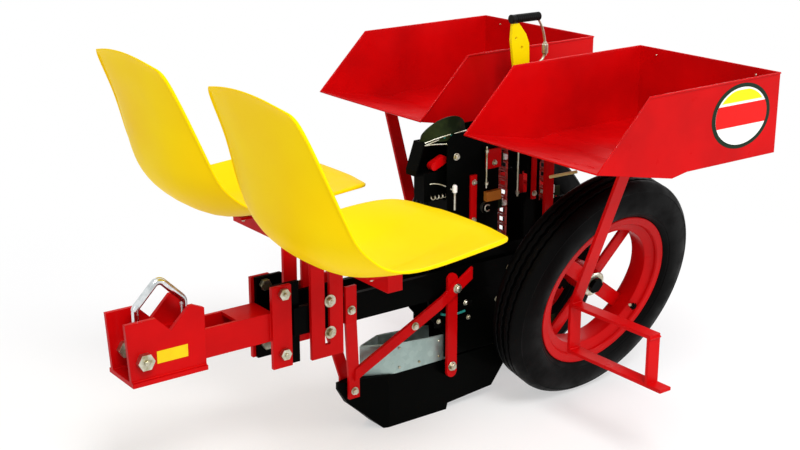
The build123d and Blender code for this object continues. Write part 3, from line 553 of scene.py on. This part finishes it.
def spun(bm, outline, steps, closed=True):
    """Ring turned about Z from a (radius, z) outline in millimetres."""
    points = [bm.verts.new((r * MM, 0, z * MM)) for r, z in outline]
    ends = points[1:] + points[:1] if closed else points[1:]
    lines = [bm.edges.new(pair) for pair in zip(points, ends)]
    bmesh.ops.spin(bm, geom=points + lines, cent=(0, 0, 0), axis=(0, 0, 1), angle=2 * pi, steps=steps,
                   use_merge=True)
    bmesh.ops.remove_doubles(bm, verts=bm.verts, dist=1e-6)
    bmesh.ops.recalc_face_normals(bm, faces=bm.faces)


def whole(faces):
    """All vertices of the body that those rounded faces are on."""
    near = dict.fromkeys(face for first in faces for vert in first.verts for face in vert.link_faces)
    return list(dict.fromkeys(vert for face in near for vert in face.verts))


def bar(bm, size, place, bevel_mm=1.0, segments=2):
    """Box of that size in millimetres with rounded edges, set at a place."""
    new = bmesh.ops.create_cube(bm, size=1.0)["verts"]
    bmesh.ops.scale(bm, vec=[v * MM for v in size], verts=new)
    lines = list(dict.fromkeys(edge for vert in new for edge in vert.link_edges))
    done = bmesh.ops.bevel(bm, geom=lines, offset=bevel_mm * MM, affect="EDGES", segments=segments,
                           profile=0.5, material=-1, clamp_overlap=True)
    bmesh.ops.transform(bm, matrix=place, verts=whole(done["faces"]))


def drum(bm, radius, length, place, sides=24, bevel_mm=0.0):
    """Round or many-sided bar along Z, centred at a place."""
    new = bmesh.ops.create_cone(bm, cap_ends=True, segments=sides, radius1=radius * MM,
                                radius2=radius * MM, depth=length * MM)["verts"]
    if bevel_mm:
        lines = dict.fromkeys(edge for vert in new for edge in vert.link_edges)
        ends = [edge for edge in lines if abs(edge.verts[0].co.z - edge.verts[1].co.z) < 1e-7]
        done = bmesh.ops.bevel(bm, geom=ends, offset=bevel_mm * MM, affect="EDGES", segments=1,
                               profile=0.5, material=-1)
        new = whole(done["faces"])
    bmesh.ops.transform(bm, matrix=place, verts=new)


def wheel_place(side):
    """Place of the left or right wheel: +Z outward along its axle."""
    camber = radians(CAMBER)
    toe = radians(TOE)
    out = Vector((-sin(toe) * cos(camber), cos(toe) * cos(camber), -sin(camber)))
    forward = Vector((cos(toe), sin(toe), 0))
    up = out.cross(forward)
    height = TYRE_R * cos(camber) + TREAD_HALF * sin(camber)
    turn = Matrix((forward, up, out)).transposed().to_4x4()
    place = spot(WHEEL_X, WHEEL_Y, height) @ turn
    return place if side > 0 else Matrix.Diagonal((1, -1, 1, 1)) @ place


def settle(bm, place):
    """Move a whole bmesh to its place, and turn its faces out again after a mirror."""
    bmesh.ops.transform(bm, matrix=place, verts=bm.verts)
    if place.determinant() < 0:
        bmesh.ops.reverse_faces(bm, faces=bm.faces)


def chain_place(step):
    """Place on the planting chain, in links from the middle of its front run: +X outward, +Z along it."""
    turn = pi * CHAIN_R
    s = (step * LINK_PITCH + CHAIN_RUN / 2) % (2 * CHAIN_RUN + 2 * turn)
    if s < CHAIN_RUN:
        return spot(CHAIN_X + CHAIN_R, 0, CHAIN_LOW + s)
    s -= CHAIN_RUN
    out = shift(CHAIN_R, 0, 0)
    if s < turn:
        return spot(CHAIN_X, 0, CHAIN_TOP) @ Matrix.Rotation(-s / CHAIN_R, 4, "Y") @ out
    s -= turn
    if s < CHAIN_RUN:
        return spot(CHAIN_X - CHAIN_R, 0, CHAIN_TOP - s) @ Matrix.Rotation(pi, 4, "Y")
    s -= CHAIN_RUN
    return spot(CHAIN_X, 0, CHAIN_LOW) @ Matrix.Rotation(pi - s / CHAIN_R, 4, "Y") @ out


class TransplanterSizes(bpy.types.PropertyGroup):
    """Sizes that a user may change."""
    seat_wall: FloatProperty(name="Seat wall", description="Thickness of the moulded seat shell",
                             default=0.006, min=0.003, max=0.01, unit="LENGTH", subtype="DISTANCE")
    seat_lip: FloatProperty(name="Seat lip", description="How far the seat's edge rolls back",
                            default=0.009, min=0.0, max=0.02, unit="LENGTH", subtype="DISTANCE")
    wheel_steps: IntProperty(name="Wheel facets", description="Steps round each tyre and rim",
                             default=132, min=32, max=160)
    floor_size: FloatProperty(name="Floor", description="Side of the pale floor", default=60.0,
                              min=10.0, max=200.0, unit="LENGTH", subtype="DISTANCE")


class TransplanterColours(bpy.types.PropertyGroup):
    """Colours that a user may change, as sRGB hex codes."""
    red: StringProperty(name="Red", description="Enamel of the plates, trays and rims", default="#cb0508")
    black: StringProperty(name="Black", description="Enamel of the frame and the shoe", default="#030403")
    yellow: StringProperty(name="Yellow", description="Moulded seats", default="#fcd800")
    yellow_deep: StringProperty(name="Deep yellow", description="Darker clouds on the seats",
                                default="#f8cc00")
    floor: StringProperty(name="Floor", description="Floor under the machine", default="#fbfbfb")


def sizes():
    """The user's sizes."""
    return bpy.context.scene.transplanter_sizes


class TRANSPLANTER_OT_finishes(bpy.types.Operator):
    """Give every CAD node the finish of its slot in the record"""
    bl_idname = "transplanter.finishes"
    bl_label = "Finishes"

    def execute(self, context):
        finishes.update(make_finishes(context.scene.transplanter_colours))
        slots = {row["node"]: row["material_slot"] for row in frame["record"]["subparts"]}
        for name, node in frame["nodes"].items():
            for place in node.material_slots:
                place.material = finishes[slots[name]]
            if not node.data.materials:
                node.data.materials.append(finishes[slots[name]])
        return {"FINISHED"}


class TRANSPLANTER_OT_seats(bpy.types.Operator):
    """Mould the two bucket seats"""
    bl_idname = "transplanter.seats"
    bl_label = "Seats"

    def execute(self, context):
        for side, word in ((1, "left"), (-1, "right")):
            self.mould(side, "seat_shell_" + word, "seat_" + word)
        return {"FINISHED"}

    def mould(self, side, name, node):
        """One seat: a grid bent over the sections, its edge rolled back, then walled and smoothed."""
        size = sizes()
        bm = bmesh.new()
        rows = len(SEAT_SECTIONS)
        columns = len(SEAT_COLUMNS) + len(SEAT_WING) - 1
        bmesh.ops.create_grid(bm, x_segments=rows - 1, y_segments=2 * columns, size=1.0)
        for vert in bm.verts:
            row = round((vert.co.x + 1) / 2 * (rows - 1))
            column = round(vert.co.y * columns)
            x, z, tilt, half, rise = SEAT_SECTIONS[row]
            even, bow, crown = SEAT_BOWS[row]
            reach = self.reach(abs(column), half)
            dish = rise * SEAT_DISH
            lift = dish * (reach / SEAT_CREASE) ** 2
            if reach > SEAT_CREASE:
                lift = dish + (rise - dish) * (reach - SEAT_CREASE) / (half - SEAT_CREASE)
            lift += even * ((rise + bow) * (reach / half) ** SEAT_BOW_POWER - bow - lift)
            if abs(column) == columns or row in (0, rows - 1):
                lift -= size.seat_lip / MM
            lean = radians(tilt)
            normal = Vector((-cos(lean), 0, sin(lean)))
            high = z + crown * (1 - (reach / half) ** 2)
            vert.co = at(x, side * SEAT_Y + (reach if column > 0 else -reach), high) + normal * lift * MM
        bmesh.ops.recalc_face_normals(bm, faces=bm.faces)
        x, z = PAN_MIDDLE
        pan = at(x, side * SEAT_Y, z)
        if min(bm.faces, key=lambda face: (face.calc_center_median() - pan).length).normal.z < 0:
            bmesh.ops.reverse_faces(bm, faces=bm.faces)
        piece = finish_piece(name, bm, "seat_plastic", 0, replaces=node)
        wall = piece.modifiers.new("wall", "SOLIDIFY")
        wall.thickness = size.seat_wall
        wall.offset = -1
        smooth = piece.modifiers.new("smooth", "SUBSURF")
        smooth.levels = 2
        smooth.render_levels = 2

    def reach(self, column, half):
        """Distance of a column from the middle of the seat."""
        if column < len(SEAT_COLUMNS):
            return SEAT_COLUMNS[column]
        start = SEAT_COLUMNS[-1]
        return start + (half - start) * SEAT_WING[column - len(SEAT_COLUMNS)]


class TRANSPLANTER_OT_tyres(bpy.types.Operator):
    """Turn the two ribbed tyres"""
    bl_idname = "transplanter.tyres"
    bl_label = "Tyres"

    def execute(self, context):
        half = TYRE_SIDE + TYRE_TREAD
        other = [(r, -z) for r, z in reversed(half) if z > 0]
        outline = [*half, *other, *TYRE_BORE]
        for side, word in ((1, "left"), (-1, "right")):
            bm = bmesh.new()
            spun(bm, outline, sizes().wheel_steps)
            self.zigzag(bm)
            settle(bm, wheel_place(side))
            finish_piece("ribbed_tyre_" + word, bm, "tyre_rubber", 28, "wheel_" + word, "tyre_" + word)
        return {"FINISHED"}

    def zigzag(self, bm):
        """Sway the grooves of the tread from step to step."""
        steps = sizes().wheel_steps
        low, high = SWAY_WITHIN
        for vert in bm.verts:
            x, y, z = vert.co
            radius = (x * x + y * y) ** 0.5 / MM
            if radius > SWAY_OVER and low < abs(z) / MM < high:
                step = round(atan2(y, x) / (2 * pi) * steps)
                vert.co.z += (SWAY if step % 2 else -SWAY) * MM


class TRANSPLANTER_OT_rims(bpy.types.Operator):
    """Roll the rims and weld in their four flat spokes and hubs"""
    bl_idname = "transplanter.rims"
    bl_label = "Rims"

    def execute(self, context):
        back = [(r, -z) for r, z in reversed(RIM_OUTER)]
        inner = [(r, -z) for r, z in reversed(RIM_INNER)] + list(RIM_INNER)
        outline = list(RIM_OUTER) + back + inner
        for side, word in ((1, "left"), (-1, "right")):
            bm = bmesh.new()
            spun(bm, outline, sizes().wheel_steps)
            spun(bm, HUB_TURNED, HUB_STEPS)
            for k in range(SPOKES):
                turn = Matrix.Rotation(radians(SPOKE_AT + k * 360 / SPOKES), 4, "Z")
                bar(bm, SPOKE_SIZE, turn @ shift(SPOKE_MIDDLE, 0, SPOKE_Z), 1.2)
            settle(bm, wheel_place(side))
            finish_piece("spoked_rim_" + word, bm, "red_paint", 32, "wheel_" + word, "rim_" + word)
            self.valve(side, word)
        return {"FINISHED"}

    def valve(self, side, word):
        """Rubber valve stem with grommet and plated cap, leaning out of the well, and the hub's seal."""
        radius, height = VALVE_FOOT
        foot = Matrix.Rotation(radians(VALVE_AT), 4, "Z") @ shift(radius, 0, height)
        lean = foot @ Matrix.Rotation(radians(VALVE_LEAN), 4, "Y")
        stem = bmesh.new()
        for radius, length, middle in VALVE_STEM:
            drum(stem, radius, length, lean @ shift(0, 0, middle), 20, 0.8)
        settle(stem, wheel_place(side))
        finish_piece("valve_stem_" + word, stem, "tyre_rubber", 40, "wheel_" + word)
        cap = bmesh.new()
        radius, length, middle = VALVE_CAP
        drum(cap, radius, length, lean @ shift(0, 0, middle), 16, 0.8)
        settle(cap, wheel_place(side))
        finish_piece("valve_cap_" + word, cap, "zinc", 30, "wheel_" + word)
        seal = bmesh.new()
        spun(seal, HUB_SEAL, HUB_STEPS)
        settle(seal, wheel_place(side))
        finish_piece("hub_seal_" + word, seal, "zinc", 30, "wheel_" + word)


class TRANSPLANTER_OT_chain(bpy.types.Operator):
    """Link up the planting chain"""
    bl_idname = "transplanter.chain"
    bl_label = "Planting chain"

    def execute(self, context):
        bm = bmesh.new()
        lying = Matrix.Rotation(pi / 2, 4, "X")
        for k in range(LINKS):
            place = chain_place(k)
            for y in (-LINK_SIDE_Y, LINK_SIDE_Y):
                bar(bm, LINK_SIDE, place @ shift(0, y, 0), 0.9, 1)
            for z in (-LINK_CROSS_Z, LINK_CROSS_Z):
                drum(bm, *LINK_CROSS, place @ shift(0, 0, z) @ lying, 10)
        finish_piece("link_chain", bm, "link_steel", 40, replaces="planting_chain")
        nylon = bmesh.new()
        pins = bmesh.new()
        reach = CLIP[0] / 2
        facing = Matrix.Rotation(pi / 2, 4, "Y")
        for k in range(0, LINKS, HOLDER_STEP):
            place = chain_place(k) @ shift(LINK_SIDE[0] / 2 + reach, 0, 0)
            bar(nylon, CLIP, place, 3.0, 3)
            for y in (-PIN_Y, PIN_Y):
                drum(pins, *PIN, place @ shift(reach, y, 0) @ facing, 12, 0.6)
        finish_piece("nylon_clips", nylon, "white_plastic", 40, replaces="holder_clips")
        finish_piece("clip_pins", pins, "zinc", 30)
        return {"FINISHED"}


class TRANSPLANTER_OT_grip(bpy.types.Operator):
    """Mould the ribbed grip of the lever"""
    bl_idname = "transplanter.grip"
    bl_label = "Lever grip"

    def execute(self, context):
        x, z, radius, length = GRIP
        half = length / 2
        outline = [(GRIP_AXIS, -half)] + [(radius + r, s - half) for r, s in GRIP_START]
        for k in range(GRIP_RIBS):
            start = -half + GRIP_FIRST + k * (length - GRIP_PLAIN) / GRIP_RIBS
            outline += [(radius + r, start + s) for r, s in GRIP_GROOVE]
        outline += [(radius + r, half - s) for r, s in GRIP_COLLAR] + [(GRIP_AXIS, half)]
        bm = bmesh.new()
        spun(bm, outline, 28, False)
        settle(bm, spot(x, 0, z) @ Matrix.Rotation(pi / 2, 4, "Y"))
        finish_piece("ribbed_grip", bm, "black_grip", 35, replaces="lever_grip")
        return {"FINISHED"}


class TRANSPLANTER_OT_bolts(bpy.types.Operator):
    """Bolt the frame together"""
    bl_idname = "transplanter.bolts"
    bl_label = "Bolts and washers"

    def execute(self, context):
        bm = bmesh.new()
        dark = bmesh.new()
        down = Matrix.Rotation(pi, 4, "X")
        inward = Matrix.Rotation(pi / 2, 4, "Y")
        for side in (1, -1):
            out = Matrix.Rotation(-side * pi / 2, 4, "X")
            for x, face, z, flats, washer in SIDE_BOLTS + (LEFT_BOLTS if side > 0 else RIGHT_BOLTS):
                self.bolt(bm, spot(x, side * face, z) @ out, flats, washer)
            back, front, low = BRACKET_BOLTS
            for x, z, flats in CLUSTER:
                face = BRACKET_FACE if back < x < front and z > low else HALF
                self.bolt(bm, spot(x, side * face, z) @ out, flats, flats * CLUSTER_WASHER)
            for (x, y, z), size in BRACKETS:
                bar(dark, size, spot(x, side * y, z), 0.8)
            for x, z in CARRIER_BOLTS:
                self.bolt(bm, spot(x, side * CARRIER_FACE, z) @ out, *CARRIER_BOLT)
            for x, y in PAD_BOLTS:
                self.bolt(bm, spot(x, side * y, PAD_UNDER) @ down, *PAD_BOLT)
            x, z = TRAY_RIVET_AT
            for y in TRAY_RIVETS:
                self.bolt(bm, spot(x, side * y, z) @ inward, *TRAY_RIVET)
            for x, z in SHROUD_RIVETS:
                self.bolt(bm, spot(x, side * SHROUD_FACE, z) @ out, *SHROUD_RIVET)
        finish_piece("bolts", bm, "zinc", 30)
        finish_piece("guard_brackets", dark, "black_paint", 30)
        return {"FINISHED"}

    def bolt(self, bm, out, flats, washer):
        """Hexagon head and the end of its shank, on a washer where it has one; +Z out of the face."""
        rest = WASHER_T if washer else 0.0
        if washer:
            drum(bm, washer, rest, out @ shift(0, 0, rest / 2), 24, 0.4)
        high = flats * HEAD_HIGH
        drum(bm, flats * HEAD_R, high, out @ shift(0, 0, rest + high / 2), 6, 0.9)
        drum(bm, flats * SHANK_R, SHANK_END, out @ shift(0, 0, rest + high + SHANK_OUT), 16)


class TRANSPLANTER_OT_rods(bpy.types.Operator):
    """Hang the thin rods, wires and their fittings"""
    bl_idname = "transplanter.rods"
    bl_label = "Rods and wires"

    def execute(self, context):
        for k, (finish, radius, *stops) in enumerate(RODS):
            tube("rod_%d" % k, [stops], radius, "zinc", finish)
        x, y, z = COIL_START
        turns = [(k, k * pi / 3) for k in range(COIL_POINTS)]
        coil = [(x - COIL_STEP * k, y + COIL_R * cos(t), z + COIL_R * sin(t)) for k, t in turns]
        tube("coil_spring", [coil], COIL_WIRE, "zinc")
        bm = bmesh.new()
        for radius, length, sides, edge in ROD_JOINT_DRUMS:
            drum(bm, radius, length, spot(*ROD_JOINT), sides, edge)
        for place in ROD_NUTS:
            drum(bm, *ROD_NUT, spot(*place), 6, 0.8)
        lying = Matrix.Rotation(pi / 2, 4, "X")
        radius, thick, middle = SHAFT_DISC
        drum(bm, radius, thick, spot(*middle) @ lying, 24, 0.5)
        finish_piece("rod_fittings", bm, "zinc", 30)
        x, y, z, radius = SNAP_RING
        first, sweep, steps = SNAP_RING_SWEEP
        turns = [radians(first + sweep * k / steps) for k in range(steps + 1)]
        ring = [(x + radius * cos(t), y, z + radius * sin(t)) for t in turns]
        tube("snap_ring", [ring], SNAP_RING_WIRE, "zinc")
        cap = bmesh.new()
        radius, thick, middle = IDLER_CAP
        drum(cap, radius, thick, spot(*middle) @ lying, 32, 0.6)
        finish_piece("idler_cap", cap, "black_paint", 30)
        tube("wire_sleeves", SLEEVES, SLEEVE_R, "white_plastic", "sleeve")
        bm = bmesh.new()
        for radius, length, place, edge in WHITE_TIPS:
            drum(bm, radius, length, spot(*place), 20, edge)
        finish_piece("white_tips", bm, "white_plastic", 40)
        return {"FINISHED"}


class TRANSPLANTER_OT_edges(bpy.types.Operator):
    """Roll the hems of the trays and lay the welds"""
    bl_idname = "transplanter.edges"
    bl_label = "Hems and welds"

    def execute(self, context):
        for side, word in ((1, "left"), (-1, "right")):
            rim = [(x, side * TRAY_SIDES[far], z) for x, far, z in HEMS]
            tube("tray_hem_" + word, [rim], HEM_R, "red_paint", cyclic=True, order=2)
        tube("shroud_lip", [SHROUD_LIP], LIP_R, "galvanised", order=2)
        runs = []
        for side in (1, -1):
            for start, end in WELDS:
                start, end = Vector(start), Vector(end)
                steps = max(int((end - start).length / WELD_STEP), 2)
                bead = []
                for k in range(steps + 1):
                    point = start.lerp(end, k / steps)
                    ripple = WELD_RIPPLE * (k % 2)
                    bead.append((point.x, side * (point.y + ripple), point.z + ripple))
                runs.append(bead)
        tube("welds", runs, WELD_R, "red_paint")
        return {"FINISHED"}


class TRANSPLANTER_OT_labels(bpy.types.Operator):
    """Stick on the blank label and the blank badge"""
    bl_idname = "transplanter.labels"
    bl_label = "Blank labels"

    def execute(self, context):
        bm = bmesh.new()
        (x0, x1), (z0, z1) = LABEL
        middle = spot((x0 + x1) / 2, LABEL_Y, (z0 + z1) / 2)
        bar(bm, (x1 - x0, LABEL_T, z1 - z0), middle, 0.2, 1)
        finish_piece("hitch_label", bm, "yellow_paint", 30, finish="label_yellow")
        for k, (radius, finish) in enumerate(BADGE_RINGS):
            bm = bmesh.new()
            self.disc(bm, radius, RING_T, RING_LIFT + RING_STEP * k)
            finish_piece(finish, bm, "white_plastic", 30, finish=finish)
        for name, low, high, radius in BADGE_BANDS:
            bm = bmesh.new()
            self.band(bm, low, high, radius)
            finish_piece(name, bm, "white_plastic", 30, finish=name)
        return {"FINISHED"}

    def disc(self, bm, radius, thick, lift):
        """Thin disc of the badge's shape, its middle that far over the side of the tray."""
        x, z = BADGE
        shape = Matrix.Diagonal((BADGE_WIDE, 1, 1, 1)) @ Matrix.Rotation(-pi / 2, 4, "X")
        drum(bm, radius, thick, spot(x, TRAY_SIDES[1] + lift, z) @ shape, DISC_SIDES)

    def band(self, bm, low, high, radius):
        """Strip cut out of such a disc, between two heights over its middle."""
        x, z = BADGE
        self.disc(bm, radius, BAND_T, BAND_LIFT)
        for height, way in ((low, -1), (high, 1)):
            body = bm.verts[:] + bm.edges[:] + bm.faces[:]
            cut = bmesh.ops.bisect_plane(bm, geom=body, dist=1e-6, plane_co=at(x, 0, z + height),
                                         plane_no=(0, 0, way), clear_outer=True)["geom_cut"]
            bmesh.ops.edgeloop_fill(bm, edges=[line for line in cut if isinstance(line, bmesh.types.BMEdge)])
        bmesh.ops.recalc_face_normals(bm, faces=bm.faces)


class TRANSPLANTER_OT_stage(bpy.types.Operator):
    """Set the floor, the soft lamps and the camera"""
    bl_idname = "transplanter.stage"
    bl_label = "Stage"

    def execute(self, context):
        scene = context.scene
        bm = bmesh.new()
        bmesh.ops.create_grid(bm, x_segments=1, y_segments=1, size=sizes().floor_size / 2)
        mesh = bpy.data.meshes.new("floor")
        bm.to_mesh(mesh)
        bm.free()
        floor = bpy.data.objects.new("floor", mesh)
        scene.collection.objects.link(floor)
        mesh.materials.append(self.floor_finish(scene.transplanter_colours.floor))
        self.sky(scene)
        for name, place, size, power in LAMPS:
            lamp = bpy.data.lights.new(name, "AREA")
            lamp.energy = power
            lamp.size = size
            holder = bpy.data.objects.new(name, lamp)
            holder.location = place
            holder.rotation_euler = (Vector(LAMPS_AIM) - Vector(place)).to_track_quat("-Z", "Y").to_euler()
            scene.collection.objects.link(holder)
        eye = bpy.data.cameras.new("camera")
        eye.lens = CAMERA_LENS
        eye.sensor_width = CAMERA_SENSOR
        camera = bpy.data.objects.new("camera", eye)
        camera.location = CAMERA_AT
        camera.rotation_euler = Vector(CAMERA_AIM).to_track_quat("-Z", "Y").to_euler()
        scene.collection.objects.link(camera)
        scene.camera = camera
        scene.view_settings.view_transform = "Standard"
        return {"FINISHED"}

    def floor_finish(self, colour):
        """Pale matt floor with the machine's shadow on it, plain white further away."""
        material, tree, shader, place = blank("pale_studio_floor")
        tone = span(tree, noise(tree, place, 900, 2.0), 0.3, 0.7, 0.0, 0.3)
        feed(shader, {"Base Color": blend(tree, tone, colour, "#f6f6f6"), "Roughness": 0.85})
        away = add(tree, "ShaderNodeVectorMath", {"operation": "LENGTH"}, {0: place}).outputs["Value"]
        settings = {"interpolation_type": "SMOOTHSTEP", **FLOOR_WHITE}
        far = add(tree, "ShaderNodeMapRange", settings, {"Value": away})
        white = add(tree, "ShaderNodeEmission", {"Color": linear("#ffffff"), "Strength": 1.0})
        mix = add(tree, "ShaderNodeMixShader", None,
                  {0: far.outputs["Result"], 1: shader.outputs[0], 2: white.outputs[0]})
        tree.links.new(mix.outputs[0], tree.nodes["Material Output"].inputs["Surface"])
        return material

    def sky(self, scene):
        """World that lights softly and looks white behind the machine."""
        world = bpy.data.worlds.new("studio")
        world.use_nodes = True
        scene.world = world
        tree = world.node_tree
        ray = add(tree, "ShaderNodeLightPath")
        seen = add(tree, "ShaderNodeBackground", {"Color": linear("#ffffff"), "Strength": 1.0})
        light = add(tree, "ShaderNodeBackground", {"Color": linear("#f8f8fa"), "Strength": SKY_LIGHT})
        either = add(tree, "ShaderNodeMath", {"operation": "MAXIMUM"},
                     {0: ray.outputs["Is Camera Ray"], 1: ray.outputs["Is Glossy Ray"]})
        links = {0: either.outputs[0], 1: light.outputs[0], 2: seen.outputs[0]}
        mix = add(tree, "ShaderNodeMixShader", None, links)
        tree.links.new(mix.outputs[0], tree.nodes["World Output"].inputs["Surface"])


OPERATORS = (
    TRANSPLANTER_OT_finishes, TRANSPLANTER_OT_seats, TRANSPLANTER_OT_tyres, TRANSPLANTER_OT_rims,
    TRANSPLANTER_OT_chain, TRANSPLANTER_OT_grip, TRANSPLANTER_OT_bolts, TRANSPLANTER_OT_rods,
    TRANSPLANTER_OT_edges, TRANSPLANTER_OT_labels, TRANSPLANTER_OT_stage,
)


class TRANSPLANTER_PT_panel(bpy.types.Panel):
    """Sidebar panel with the sizes, the colours and the steps"""
    bl_idname = "TRANSPLANTER_PT_panel"
    bl_label = "Transplanter"
    bl_space_type = "VIEW_3D"
    bl_region_type = "UI"
    bl_category = "Transplanter"

    def draw(self, context):
        column = self.layout.column()
        for group in (context.scene.transplanter_sizes, context.scene.transplanter_colours):
            for name in group.__annotations__:
                column.prop(group, name)
        for step in OPERATORS:
            column.operator(step.bl_idname)


CLASSES = (TransplanterSizes, TransplanterColours, *OPERATORS, TRANSPLANTER_PT_panel)


def register():
    """Add the classes and the two groups of settings."""
    for item in CLASSES:
        bpy.utils.register_class(item)
    bpy.types.Scene.transplanter_sizes = PointerProperty(type=TransplanterSizes)
    bpy.types.Scene.transplanter_colours = PointerProperty(type=TransplanterColours)


def unregister():
    """Take them away again."""
    del bpy.types.Scene.transplanter_colours
    del bpy.types.Scene.transplanter_sizes
    for item in reversed(CLASSES):
        bpy.utils.unregister_class(item)


def main():
    """Run every step in order."""
    register()
    for step in OPERATORS:
        group, name = step.bl_idname.split(".")
        getattr(getattr(bpy.ops, group), name)()
    bpy.context.view_layer.update()


if __name__ == "__main__":
    main()
